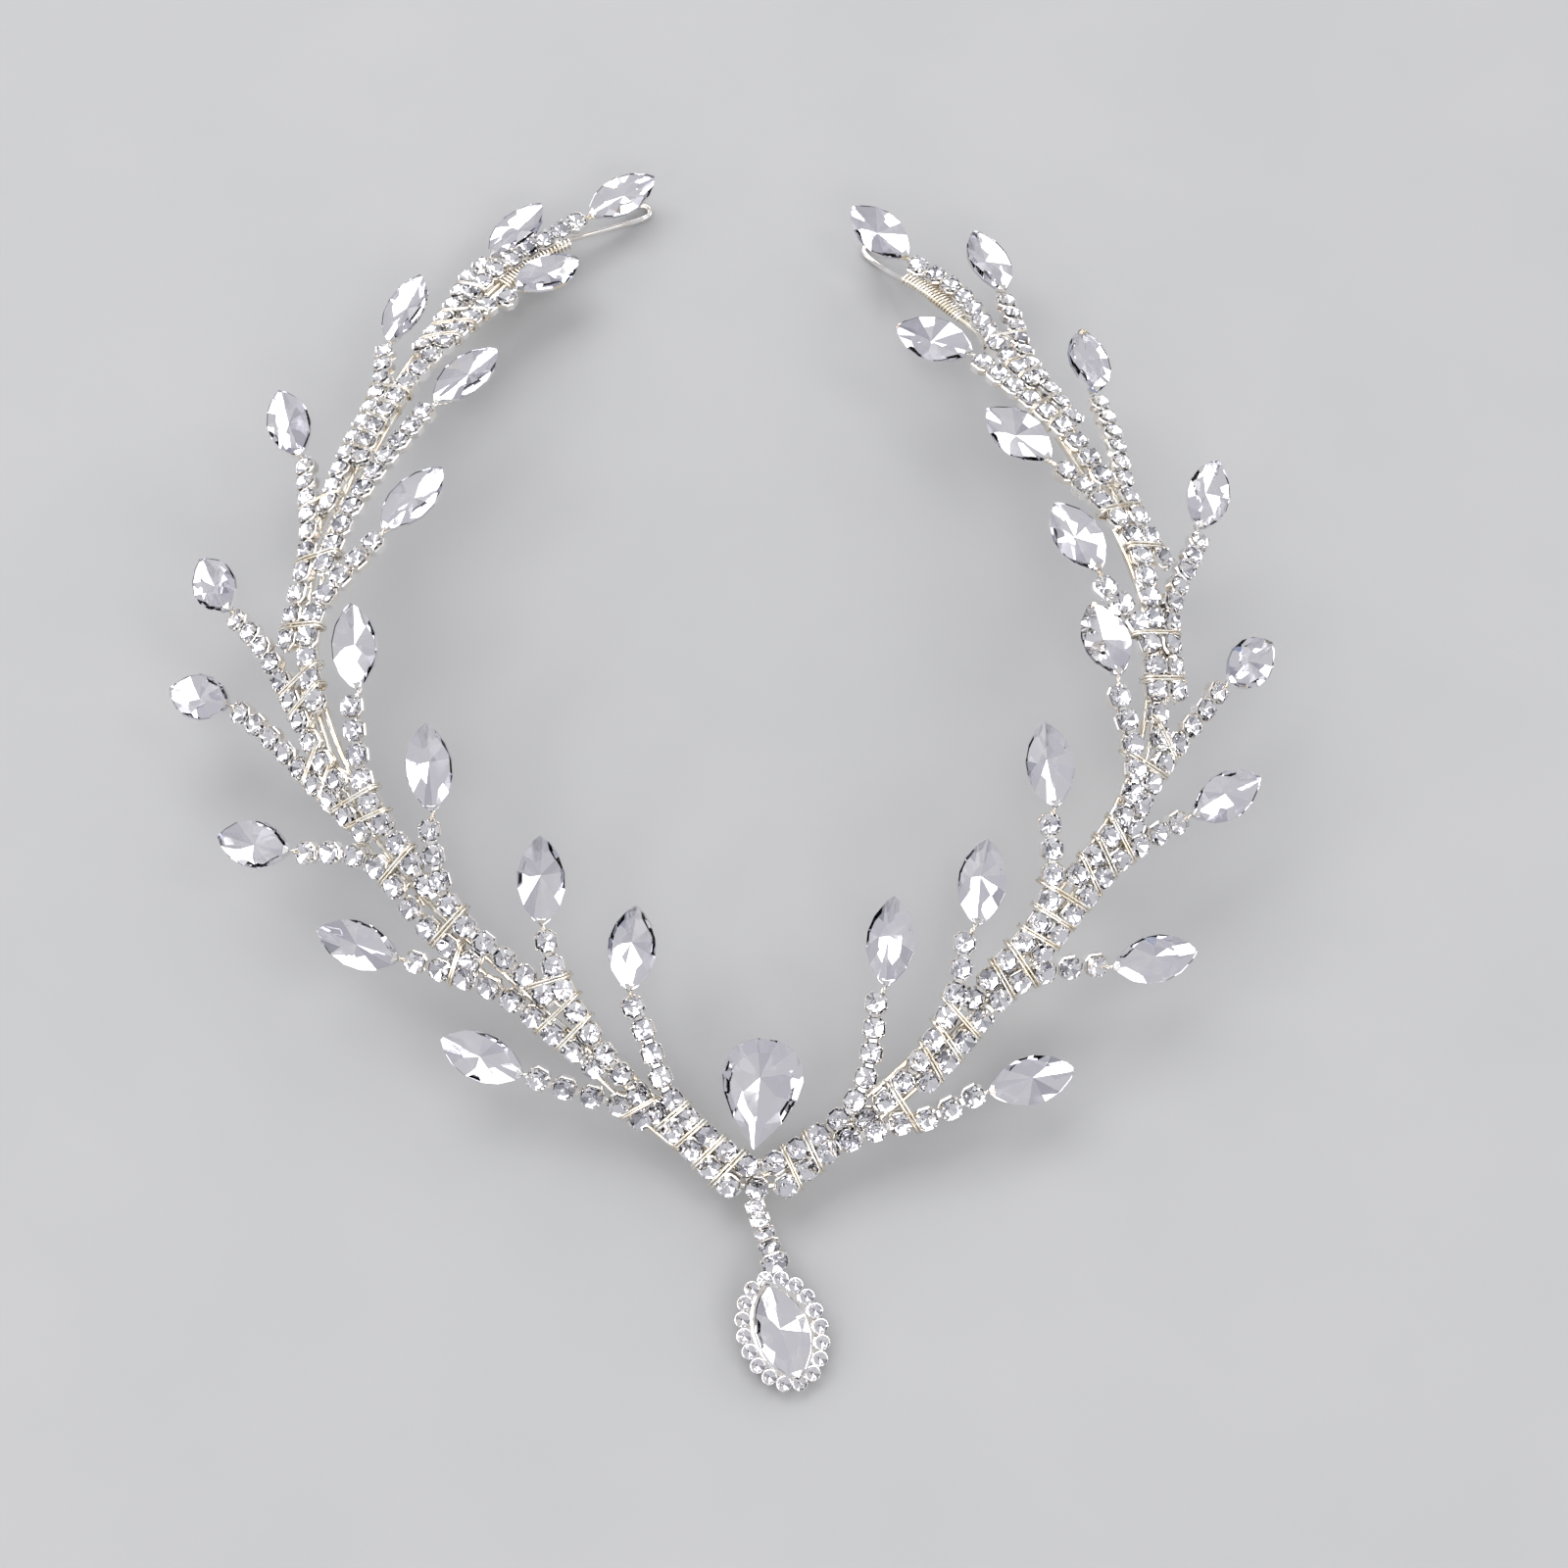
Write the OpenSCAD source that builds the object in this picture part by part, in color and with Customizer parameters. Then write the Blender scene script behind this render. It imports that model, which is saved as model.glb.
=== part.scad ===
// Bridal crown: a hand-wired forehead vine of cup-set stones, open at the back.
// It is modelled as it rests by itself on a flat surface, with the point of its V towards -Y.

/* [Stones] */
// Length of a navette crystal
navette_l = 12; // [10:0.5:13]
// Width of a navette crystal
navette_w = 6; // [5:0.5:7]
// Length of the pear crystal over the V
pear_l = 14; // [12:0.5:15]
// Width of the pear crystal
pear_w = 10; // [8:0.5:11]
// Depth of a crystal below its girdle
pavilion_h = 1.5; // [1.2:0.1:1.8]
// Height of a crystal above its girdle
crown_h = 1; // [0.8:0.1:1.4]

/* [Cup chain] */
// Radius of one square-set cup over its claws
cup_r = 1.4; // [1.2:0.05:1.45]
// Depth of a cup below the girdle of its stone
cup_depth = 1; // [0.8:0.1:1.2]
// Radius of the small cups of the pendant
bead_r = 0.92; // [0.8:0.02:0.95]
// Small cups round the pendant
halo_count = 18; // [14:1:18]
// Small cups on the pendant's chain
drop_count = 4; // [3:1:4]

/* [Metal] */
// Radius of the wire in a sprig's stem
stem_r = 0.4; // [0.3:0.05:0.5]
// Radius of the wire of the two hair loops
loop_r = 0.5; // [0.4:0.05:0.6]
// Clear gap between a stone or cup and the metal that carries it
seat_gap = 0.15; // [0.1:0.05:0.2]
// Thickness of the pendant's back plate
plate_t = 0.5; // [0.4:0.1:0.6]

/* [Form] */
// Height of the arched form above its foot
dome_h = 45; // [40:1:50]
// Height of the foot of the form above the surface
dome_foot = 2; // [1:0.5:4]
// Half spread of the form across
dome_rx = 72; // [68:1:80]
// Half spread of the form to the front
dome_front = 46; // [44:1:50]
// Half spread of the form to the back
dome_back = 52; // [50:1:56]
// Lean of the pendant off the surface, degrees
pendant_lean = 18; // [12:1:20]

/* [Hidden] */
// The table values are measured from the middle of the head opening; this moves them so
// that the origin lies under the middle of the whole crown.
shift = [5.35, 3.285, -0.025];
dome_y = 2;
stone_n = 10;
cup_n = 8;
wire_n = 5;
join_depth = 0.6;
band_top = 0.9;
band_depth = 1.9;
band_steps = 2;
chain_steps = 16;
girdle_half = 0.15;

// Sprigs of the left arm towards the inside, from the V to the back:
// crystal's tip x, y, z; its foot x, y; then the cup chain's first cup, two cups on its way
// and its last cup on the band, each x, y; cups in the chain; cups that stand free of the band.
LEFT_INNER = [
    [-15.5, -37.5, 25.0, -16.5, -46.0, -16.0, -47.8, -13.0, -54.5, -10.0, -59.5, -1.5, -66.0, 9, 4],
    [-27.5, -29.0, 27.5, -27.5, -38.5, -27.0, -40.3, -22.0, -50.0, -13.0, -60.0, -4.0, -68.5, 13, 2],
    [-42.0, -16.0, 33.0, -41.5, -25.0, -42.0, -27.0, -39.5, -35.5, -35.0, -40.0, -27.5, -46.0, 9, 2],
    [-53.0, 3.0, 29.5, -51.5, -9.0, -52.5, -10.8, -51.0, -20.0, -48.5, -25.0, -42.5, -33.0, 9, 3],
    [-42.0, 23.0, 29.0, -49.5, 14.0, -50.8, 12.4, -56.5, 6.5, -59.0, 0.5, -57.5, -9.0, 9, 3],
    [-36.0, 47.0, 21.0, -44.5, 38.5, -46.0, 36.8, -51.5, 26.5, -54.5, 20.0, -57.5, 11.0, 10, 4],
    [-26.0, 71.5, 7.0, -35.0, 64.0, -36.2, 62.0, -42.5, 56.0, -50.5, 41.5, -54.0, 29.5, 13, 1],
    [-15.5, 86.5, 6.0, -25.0, 79.5, -26.8, 78.5, -32.0, 74.0, -37.5, 69.0, -41.5, 63.5, 8, 1],
];
// Sprigs of the left arm towards the outside, same columns
LEFT_OUTER = [
    [-41.0, -50.0, 10.0, -30.0, -55.0, -28.2, -55.6, -24.0, -57.0, -17.5, -59.0, -15.0, -60.5, 5, 2],
    [-57.0, -36.5, 13.5, -46.0, -41.0, -44.0, -41.5, -34.5, -45.0, -29.5, -48.0, -21.0, -54.5, 9, 2],
    [-71.0, -23.0, 12.5, -60.5, -27.0, -58.6, -27.5, -49.5, -30.0, -45.0, -35.0, -37.0, -42.0, 9, 2],
    [-78.5, -2.0, 13.5, -69.5, -7.0, -68.0, -8.5, -62.0, -14.5, -57.5, -19.5, -51.0, -26.0, 9, 5],
    [-76.0, 17.0, 15.0, -70.5, 7.0, -69.4, 5.2, -63.5, -3.5, -59.0, -12.5, -54.5, -19.5, 10, 5],
    [-67.0, 43.5, 16.0, -63.0, 32.0, -62.2, 29.8, -60.5, 18.0, -60.5, 11.5, -62.0, 0.5, 10, 3],
    [-48.5, 65.0, 12.0, -52.5, 54.0, -53.2, 52.0, -53.5, 41.5, -55.5, 34.0, -58.0, 21.5, 11, 2],
    [-32.0, 81.0, 7.0, -39.0, 71.5, -40.2, 69.6, -42.5, 66.0, -44.0, 61.0, -47.5, 52.5, 7, 2],
];
// Sprigs of the right arm towards the inside, same columns
RIGHT_INNER = [
    [17.0, -36.0, 24.0, 16.0, -45.5, 14.8, -47.4, 13.5, -55.5, 10.0, -60.5, 2.0, -65.5, 9, 3],
    [28.5, -30.0, 28.0, 27.5, -38.5, 26.0, -40.5, 22.0, -51.5, 13.5, -60.5, 3.5, -68.5, 13, 2],
    [35.5, -17.0, 35.0, 37.5, -25.0, 36.8, -27.0, 37.0, -34.5, 34.0, -39.5, 27.0, -46.5, 9, 3],
    [43.0, 3.0, 29.0, 46.0, -8.5, 46.0, -11.0, 48.0, -18.5, 46.5, -24.5, 40.5, -32.0, 9, 2],
    [38.5, 16.0, 32.0, 44.0, 5.5, 44.6, 3.4, 50.0, -2.5, 51.0, -8.0, 51.5, -15.0, 8, 3],
    [30.0, 32.0, 29.5, 38.5, 23.5, 40.5, 22.0, 47.5, 15.0, 50.0, 9.5, 51.0, 0.5, 9, 2],
    [19.0, 52.0, 18.5, 29.5, 47.0, 30.8, 44.8, 38.0, 35.5, 42.0, 30.0, 45.5, 23.0, 9, 3],
    [13.0, 79.0, 9.5, 21.5, 70.0, 22.8, 68.2, 29.5, 60.5, 32.5, 52.0, 37.5, 42.0, 11, 0],
];
// Sprigs of the right arm towards the outside, same columns
RIGHT_OUTER = [
    [40.5, -53.5, 8.5, 29.0, -57.0, 27.2, -57.6, 21.0, -60.5, 18.0, -61.0, 11.5, -63.0, 6, 3],
    [56.0, -39.0, 12.5, 45.0, -42.0, 43.0, -42.0, 34.0, -44.0, 29.0, -48.0, 21.5, -56.0, 9, 2],
    [65.0, -17.0, 18.0, 55.5, -23.5, 53.8, -24.6, 46.5, -29.5, 42.5, -33.5, 36.0, -41.0, 9, 2],
    [68.0, 2.5, 18.5, 61.0, -6.0, 59.6, -7.6, 56.0, -12.5, 51.0, -19.5, 48.0, -26.0, 8, 3],
    [62.0, 28.5, 22.0, 58.5, 17.0, 58.5, 14.8, 55.0, 6.5, 53.5, 0.5, 54.0, -8.5, 9, 4],
    [45.0, 53.0, 17.0, 46.5, 41.0, 46.8, 39.0, 48.5, 27.5, 49.0, 20.5, 53.0, 10.5, 10, 5],
    [31.0, 74.5, 10.0, 35.0, 63.0, 35.2, 60.8, 36.5, 53.0, 37.5, 46.5, 42.5, 34.5, 10, 3],
];
// Middle line of each arm's band from the V to its end: x, y, half width
LEFT_BAND = [
    [-0.1, -67.0, 2.4], [-3.0, -66.3, 2.4], [-12.0, -61.0, 2.4], [-23.0, -51.5, 2.4], [-34.0, -42.5, 2.4],
    [-45.0, -32.5, 2.4], [-54.0, -20.0, 2.2], [-59.0, -5.5, 1.6], [-60.0, 8.0, 2.4],
    [-57.5, 20.0, 2.6], [-53.0, 36.0, 2.4], [-46.5, 53.5, 2.4], [-35.0, 70.0, 1.8],
    [-28.0, 75.5, 1.4],
];
RIGHT_BAND = [
    [0.1, -67.0, 2.4], [3.0, -66.4, 2.4], [10.5, -62.0, 2.4], [20.5, -54.5, 2.4], [30.5, -45.0, 2.4],
    [40.5, -34.0, 2.4], [48.0, -23.0, 2.2], [51.5, -11.0, 1.8], [51.5, 3.5, 2.0],
    [47.0, 18.5, 2.2], [41.0, 34.0, 2.4], [35.0, 50.5, 2.4], [25.0, 63.5, 1.8],
    [21.0, 67.0, 1.4],
];
// Wire of each hair loop, out to its round end and back under the crystal: x, y, z
LEFT_LOOP = [
    [-29.5, 74.4, 6.6], [-26.3, 77.6, 3.6], [-21.5, 80.6, 1.6], [-17.4, 82.8, 0.5],
    [-16.4, 83.6, 0.5], [-16.5, 84.6, 0.6], [-17.6, 84.9, 0.9], [-20.5, 83.8, 1.5],
];
RIGHT_LOOP = [
    [22.2, 66.0, 9.2], [20.6, 69.0, 5.4], [18.8, 72.4, 2.2], [16.7, 75.4, 0.5],
    [15.8, 76.3, 0.5], [15.4, 77.3, 0.6], [16.2, 78.2, 0.9], [18.2, 76.8, 1.6],
];
// Pear crystal: its tip and the middle of its round end
PEAR_TIP = [-0.7, -64.6, 9.9];
PEAR_TOP = [1.0, -52.4, 16.5];
// Pendant: foot of the halo on the surface, and the way its length points, degrees from +Y
PENDANT_FOOT = [5.2, -92.8, 0];
pendant_turn = 20;
// The way a wearer's front faces, and how far the crystals of each side's inner row are turned
// to it from the outward way of the form, 0 to 1
FRONT_WAY = [0, -0.44, 0.9];
left_face = 0.5;
right_face = 0.9;
halo_l = 13.6;
halo_w = 9.7;
// Chain of the pendant, from under the V to the halo: x, y, z
DROP_FROM = [-0.5, -70.9, 5.4];
DROP_TO = [1.75, -77.7, 5.6];

// Plain vector work
function unit(v) = v / norm(v);
function flat_to(v, n) = unit(v - (v * n) * n);

// The arched form that every cup and wire follows
function dome_reach(y) = y < dome_y ? dome_front : dome_back;
function dome_rise(x, y) =
    dome_h * exp(-pow(x / dome_rx, 2) - pow((y - dome_y) / dome_reach(y), 2));
function dome(x, y) = [x, y, dome_foot + dome_rise(x, y)];
function dome_out(x, y) = unit([
    2 * x / pow(dome_rx, 2) * dome_rise(x, y),
    2 * (y - dome_y) / pow(dome_reach(y), 2) * dome_rise(x, y),
    1
]);

// A frame is [origin, along, across, up]
function frame_at(o, along, up) =
    let (u = flat_to(along, up), v = cross(up, u)) [o, u, v, up];
function place(f, p) = f[0] + p.x * f[1] + p.y * f[2] + p.z * f[3] + shift;

// Cup number i of a sprig's chain, counted from the crystal
function blend(p, t) =
    p[0] * (1 - 3 * t) * (2 - 3 * t) * (1 - t) / 2
    + p[1] * 9 * t * (2 - 3 * t) * (1 - t) / 2
    - p[2] * 9 * t * (1 - 3 * t) * (1 - t) / 2
    + p[3] * t * (1 - 3 * t) * (2 - 3 * t) / 2;
function chain_knots(s) = [[s[5], s[6]], [s[7], s[8]], [s[9], s[10]], [s[11], s[12]]];
function chain_walk(s) = [for (k = [0:chain_steps])
    let (q = blend(chain_knots(s), k / chain_steps)) dome(q.x, q.y)];
function walked(w, k) = k == 0 ? 0 : walked(w, k - 1) + norm(w[k] - w[k - 1]);
// How far along the curve, from 0 to 1, cup i sits when the cups are evenly spaced
function chain_part(s, i) =
    let (
        w = chain_walk(s),
        gone = [for (k = [0:chain_steps]) walked(w, k)],
        goal = i * gone[chain_steps] / (s[13] - 1),
        k = max(len([for (g = gone) if (g < goal) g]), 1)
    )
    (k - 1 + (goal - gone[k - 1]) / (gone[k] - gone[k - 1])) / chain_steps;
function chain_xy(s, i) = blend(chain_knots(s), chain_part(s, i));
function cup_frame(s, i) =
    let (a = chain_xy(s, i), b = chain_xy(s, i + 0.2))
    frame_at(dome(a.x, a.y), dome(b.x, b.y) - dome(a.x, a.y), dome_out(a.x, a.y));

// Crystal frames: origin at the middle of the girdle, length along
function foot_of(s) = dome(s[3], s[4]);
function navette_frame(s, face) =
    let (
        foot = foot_of(s),
        way = unit([s[0], s[1], s[2]] - foot),
        mid = foot + way * navette_l / 2,
        out = dome_out(foot.x, foot.y) * (1 - face) + FRONT_WAY * face
    )
    frame_at(mid, way, flat_to(out, way));
function pear_frame() =
    let (way = unit(PEAR_TOP - PEAR_TIP))
    frame_at(PEAR_TIP + way * pear_l / 2, way, flat_to([0, -0.49, 0.87], way));
function pendant_frame() =
    let (
        way = [
            -sin(pendant_turn) * cos(pendant_lean),
            cos(pendant_turn) * cos(pendant_lean),
            sin(pendant_lean)
        ]
    )
    frame_at(PENDANT_FOOT, way, flat_to([0, 0, 1], way));

// Outlines as [along, across] points, scaled by k
function navette_outline(l, w, k, n) =
    let (arc_r = (l * l + w * w) / (4 * w))
    [for (i = [0:n - 1])
        let (
            u = l / 2 * cos(i * 360 / n),
            v = sqrt(max(arc_r * arc_r - u * u, 0)) - (arc_r - w / 2)
        )
        [k * u, k * v * sign(round(1000 * sin(i * 360 / n)))]];
function pear_outline(l, w, k, n) = [for (i = [0:n - 1])
    let (a = i * 360 / n)
    [-k * l / 2 * cos(a) + (1 - k) * l * 0.12, k * 0.65 * w * sin(a) * sin(a / 2) * -1]];
function round_outline(r, n) = [for (i = [0:n - 1])
    let (a = 180 / n + i * 360 / n) [r * cos(a), r * sin(a)]];
function ring(outline, z) = [for (p = outline) [p.x, p.y, z]];

// Faces of a stack of rings with n points each, closed at both ends
function stack_faces(n, rings, first) = concat(
    [[for (i = [0:n - 1]) first + i]],
    [for (r = [0:rings - 2]) for (i = [0:n - 1]) [
        first + r * n + i,
        first + (r + 1) * n + i,
        first + (r + 1) * n + (i + 1) % n,
        first + r * n + (i + 1) % n
    ]],
    [[for (i = [0:n - 1]) first + rings * n - 1 - i]]
);

// Rings of a navette, of the pear and of a cup with its stone
function navette_rings(l, w) = concat(
    ring(navette_outline(l, w, 0.25, stone_n), -pavilion_h),
    ring(navette_outline(l, w, 1, stone_n), -girdle_half),
    ring(navette_outline(l, w, 1, stone_n), girdle_half),
    ring(navette_outline(l, w, 0.6, stone_n), crown_h)
);
function pear_rings() = concat(
    ring(pear_outline(pear_l, pear_w, 0.25, stone_n + 2), -pavilion_h * 1.3),
    ring(pear_outline(pear_l, pear_w, 1, stone_n + 2), -girdle_half),
    ring(pear_outline(pear_l, pear_w, 1, stone_n + 2), girdle_half),
    ring(pear_outline(pear_l, pear_w, 0.62, stone_n + 2), crown_h * 1.3)
);
function cup_rings(r) = concat(
    ring(round_outline(0.8 * r, cup_n), -cup_depth),
    ring(round_outline(r, cup_n), 0.25),
    ring(round_outline(0.65 * r, cup_n), 0.25 + 0.45 * r)
);

module stack(points, n, rings) {
    polyhedron(points, stack_faces(n, rings, 0), convexity = 4);
}

module navette(f) {
    color([0.92, 0.93, 0.96])
        stack([for (p = navette_rings(navette_l, navette_w)) place(f, p)], stone_n, 4);
}

module pear_crystal() {
    color([0.92, 0.93, 0.96])
        stack([for (p = pear_rings()) place(pear_frame(), p)], stone_n + 2, 4);
}

// The free cups of some sprigs, each a closed shell of its own
module free_cups(sprigs) {
    frames = [for (s = sprigs) if (s[14] > 0) for (i = [0:s[14] - 1]) cup_frame(s, i)];
    size = 3 * cup_n;
    color([0.86, 0.87, 0.9])
        polyhedron(
            [for (f = frames) for (p = cup_rings(cup_r)) place(f, p)],
            [for (k = [0:len(frames) - 1]) each stack_faces(cup_n, 3, k * size)],
            convexity = 10
        );
}

// Middle line of a band, smoothed through its table points
function catmull(a, b, c, d, t) =
    0.5 * (2 * b + (c - a) * t + (2 * a - 5 * b + 4 * c - d) * t * t
    + (3 * b - a - 3 * c + d) * t * t * t);
function band_line(t) = let (last = len(t) - 1) concat(
    [for (i = [0:last - 1]) for (j = [0:band_steps - 1])
        catmull(t[max(i - 1, 0)], t[i], t[i + 1], t[min(i + 2, last)], j / band_steps)],
    [t[last]]
);
// Section of the band: core wires below, cup rows above
function band_section(w) = [
    [0, w, 0.2], [0, 0.7 * w, band_top], [0, -0.7 * w, band_top], [0, -w, 0.2],
    [0, -w, -0.9], [0, -0.5 * w, -band_depth], [0, 0.5 * w, -band_depth], [0, w, -0.9]
];
function band_points(line) = [for (i = [0:len(line) - 1])
    let (
        a = line[max(i - 1, 0)],
        b = line[min(i + 1, len(line) - 1)],
        f = frame_at(
            dome(line[i].x, line[i].y),
            dome(b.x, b.y) - dome(a.x, a.y),
            dome_out(line[i].x, line[i].y)
        )
    )
    for (p = band_section(line[i].z)) place(f, p)];

module band(table) {
    line = band_line(table);
    stack(band_points(line), 8, len(line));
}

// A bent wire of straight lengths through some points
function wire_ring(p, way, r) =
    let (f = frame_at(p, way, flat_to([0, 0, 1], way)))
    [for (q = round_outline(r, wire_n)) place(f, [0, q.x, q.y])];
module wire(points, r) {
    last = len(points) - 1;
    stack(
        [for (i = [0:last])
            each wire_ring(points[i], unit(points[min(i + 1, last)] - points[max(i - 1, 0)]), r)],
        wire_n, last + 1
    );
}

// Stem of a sprig: from the band under its free cups and on under its crystal
function below(f, d) = f[0] - d * f[3];
function nearest(line, p) =
    let (d = [for (q = line) norm([q.x, q.y] - p)]) line[search(min(d), d)[0]];
module stem(s, table, face) {
    f = navette_frame(s, face);
    cup_drop = cup_depth + 1.6 * seat_gap + stem_r;
    stone_drop = pavilion_h + 1.6 * seat_gap + stem_r;
    free = s[14];
    join = nearest(band_line(table), chain_xy(s, free + 1));
    wire(concat(
        [below(f, stone_drop) + f[1] * 1.2, below(f, stone_drop) - f[1] * 1.6],
        [for (i = [0:free]) below(cup_frame(s, i), cup_drop)],
        [dome(join.x, join.y) - [0, 0, join_depth]]
    ), stem_r);
}

module pear_stem() {
    f = pear_frame();
    drop = pavilion_h * 1.3 + seat_gap + stem_r;
    wire([
        below(f, drop) + f[1] * 1.5,
        below(f, drop) - f[1] * 2,
        below(f, drop) - f[1] * (pear_l / 2 + 0.5),
        [-2, -66.5, 6.6]
    ], stem_r);
}

module left_frame() {
    color([0.78, 0.76, 0.72]) {
        band(LEFT_BAND);
        for (s = LEFT_INNER) stem(s, LEFT_BAND, left_face);
        for (s = LEFT_OUTER) stem(s, LEFT_BAND, 0);
        wire(LEFT_LOOP, loop_r);
        pear_stem();
    }
}

module right_frame() {
    color([0.78, 0.76, 0.72]) {
        band(RIGHT_BAND);
        for (s = RIGHT_INNER) stem(s, RIGHT_BAND, right_face);
        for (s = RIGHT_OUTER) stem(s, RIGHT_BAND, 0);
        wire(RIGHT_LOOP, loop_r);
    }
}

// Pendant: a back plate, the ring of small cups on it, its navette and the chain that holds it
halo_mid = halo_l / 2 + bead_r;
halo_step = 360 / halo_count;
rim_low = 0.85;
rim_high = 1.2;
function halo_at(a, grow) =
    [halo_mid + (halo_l / 2 + grow) * cos(a), (halo_w / 2 + grow) * sin(a), 0];
function halo_outline(grow) = [for (i = [0:halo_count - 1]) halo_at((i + 0.5) * halo_step, grow)];

module pendant_setting() {
    f = pendant_frame();
    color([0.8, 0.8, 0.82])
        stack(
            concat(
                [for (p = halo_outline(bead_r)) place(f, [p.x, p.y, 0])],
                [for (p = halo_outline(bead_r)) place(f, [p.x, p.y, plate_t])]
            ),
            halo_count, 2
        );
}

// Rings of one small cup and its stone, standing just clear of the plate
function halo_cup_rings() = concat(
    ring(round_outline(bead_r, cup_n), plate_t + seat_gap),
    ring(round_outline(bead_r, cup_n), plate_t + seat_gap + rim_low),
    ring(round_outline(0.6 * bead_r, cup_n), plate_t + seat_gap + rim_high)
);
module pendant_cups() {
    f = pendant_frame();
    size = 3 * cup_n;
    color([0.86, 0.87, 0.9])
        polyhedron(
            [for (p = halo_outline(0)) for (q = halo_cup_rings()) place(f, p + q)],
            [for (k = [0:halo_count - 1]) each stack_faces(cup_n, 3, k * size)],
            convexity = 8
        );
}

module pendant_navette() {
    f = pendant_frame();
    lift = plate_t + seat_gap + pavilion_h;
    centre = f[0] + halo_mid * f[1] + lift * f[3];
    navette([centre, f[1], f[2], f[3]]);
}

// The last cup of the chain is the larger one that the halo hangs from
module pendant_chain() {
    way = DROP_TO - DROP_FROM;
    up = flat_to([0, -0.3, 1], unit(way));
    size = 3 * cup_n;
    color([0.86, 0.87, 0.9])
        polyhedron(
            [for (i = [0:drop_count - 1])
                let (
                    f = frame_at(DROP_FROM + way * i / (drop_count - 1), way, up),
                    r = i == drop_count - 1 ? 1.35 * bead_r : bead_r
                )
                for (p = cup_rings(r)) place(f, p)],
            [for (k = [0:drop_count - 1]) each stack_faces(cup_n, 3, k * size)],
            convexity = 6
        );
}

for (i = [1:7]) {
    navette(navette_frame(LEFT_INNER[i - 1], left_face));
    navette(navette_frame(RIGHT_INNER[i - 1], right_face));
    navette(navette_frame(RIGHT_OUTER[i - 1], 0));
}
for (i = [1:8])
    navette(navette_frame(LEFT_OUTER[i - 1], 0));
navette(navette_frame(LEFT_INNER[7], left_face));  // left_end_navette
navette(navette_frame(RIGHT_INNER[7], right_face));  // right_end_navette
pear_crystal();
pendant_navette();
free_cups(LEFT_INNER);  // left_inner_cups
free_cups(LEFT_OUTER);  // left_outer_cups
free_cups(RIGHT_INNER);  // right_inner_cups
free_cups(RIGHT_OUTER);  // right_outer_cups
left_frame();
right_frame();
pendant_setting();
pendant_cups();
pendant_chain();
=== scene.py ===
# Bridal crown: cup-chain sprigs wired to two arms, a pear over the V and a haloed pendant.
import math
import random
from collections import namedtuple

import bpy
from mathutils import Matrix, Vector


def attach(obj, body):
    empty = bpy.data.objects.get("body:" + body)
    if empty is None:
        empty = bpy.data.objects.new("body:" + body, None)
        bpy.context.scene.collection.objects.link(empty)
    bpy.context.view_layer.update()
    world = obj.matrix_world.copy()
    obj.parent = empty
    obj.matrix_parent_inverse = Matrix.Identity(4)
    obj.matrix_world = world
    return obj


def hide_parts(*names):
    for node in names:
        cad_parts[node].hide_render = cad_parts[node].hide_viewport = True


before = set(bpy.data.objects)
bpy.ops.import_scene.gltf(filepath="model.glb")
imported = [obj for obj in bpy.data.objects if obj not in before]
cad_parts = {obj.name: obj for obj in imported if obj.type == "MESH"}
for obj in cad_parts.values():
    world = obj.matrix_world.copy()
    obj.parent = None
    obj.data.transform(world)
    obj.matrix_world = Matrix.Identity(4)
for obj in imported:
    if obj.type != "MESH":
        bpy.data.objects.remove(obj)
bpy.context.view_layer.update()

# Places and sizes are in mm, and SHIFT moves the middle of the head opening to its place in the frame
MM = 0.001
SHIFT = Vector((5.35, 3.285, -0.025))

# Sprigs from the V to the back, with the same rows as in part.scad. Most of their places were read
# in the photograph and worked out in mm by a scratch script, of which report.md tells. Columns:
# crystal's tip x, y, z; its foot x, y; the cup chain's first cup, two cups on its way and its last
# cup, each x, y; cups in the chain; cups that stand free of the band.
LEFT_INNER = [
    (-15.5, -37.5, 25.0, -16.5, -46.0, -16.0, -47.8, -13.0, -54.5, -10.0, -59.5, -1.5, -66.0, 9, 4),
    (-27.5, -29.0, 27.5, -27.5, -38.5, -27.0, -40.3, -22.0, -50.0, -13.0, -60.0, -4.0, -68.5, 13, 2),
    (-42.0, -16.0, 33.0, -41.5, -25.0, -42.0, -27.0, -39.5, -35.5, -35.0, -40.0, -27.5, -46.0, 9, 2),
    (-53.0, 3.0, 29.5, -51.5, -9.0, -52.5, -10.8, -51.0, -20.0, -48.5, -25.0, -42.5, -33.0, 9, 3),
    (-42.0, 23.0, 29.0, -49.5, 14.0, -50.8, 12.4, -56.5, 6.5, -59.0, 0.5, -57.5, -9.0, 9, 3),
    (-36.0, 47.0, 21.0, -44.5, 38.5, -46.0, 36.8, -51.5, 26.5, -54.5, 20.0, -57.5, 11.0, 10, 4),
    (-26.0, 71.5, 7.0, -35.0, 64.0, -36.2, 62.0, -42.5, 56.0, -50.5, 41.5, -54.0, 29.5, 13, 1),
    (-15.5, 86.5, 6.0, -25.0, 79.5, -26.8, 78.5, -32.0, 74.0, -37.5, 69.0, -41.5, 63.5, 8, 1),
]
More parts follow.
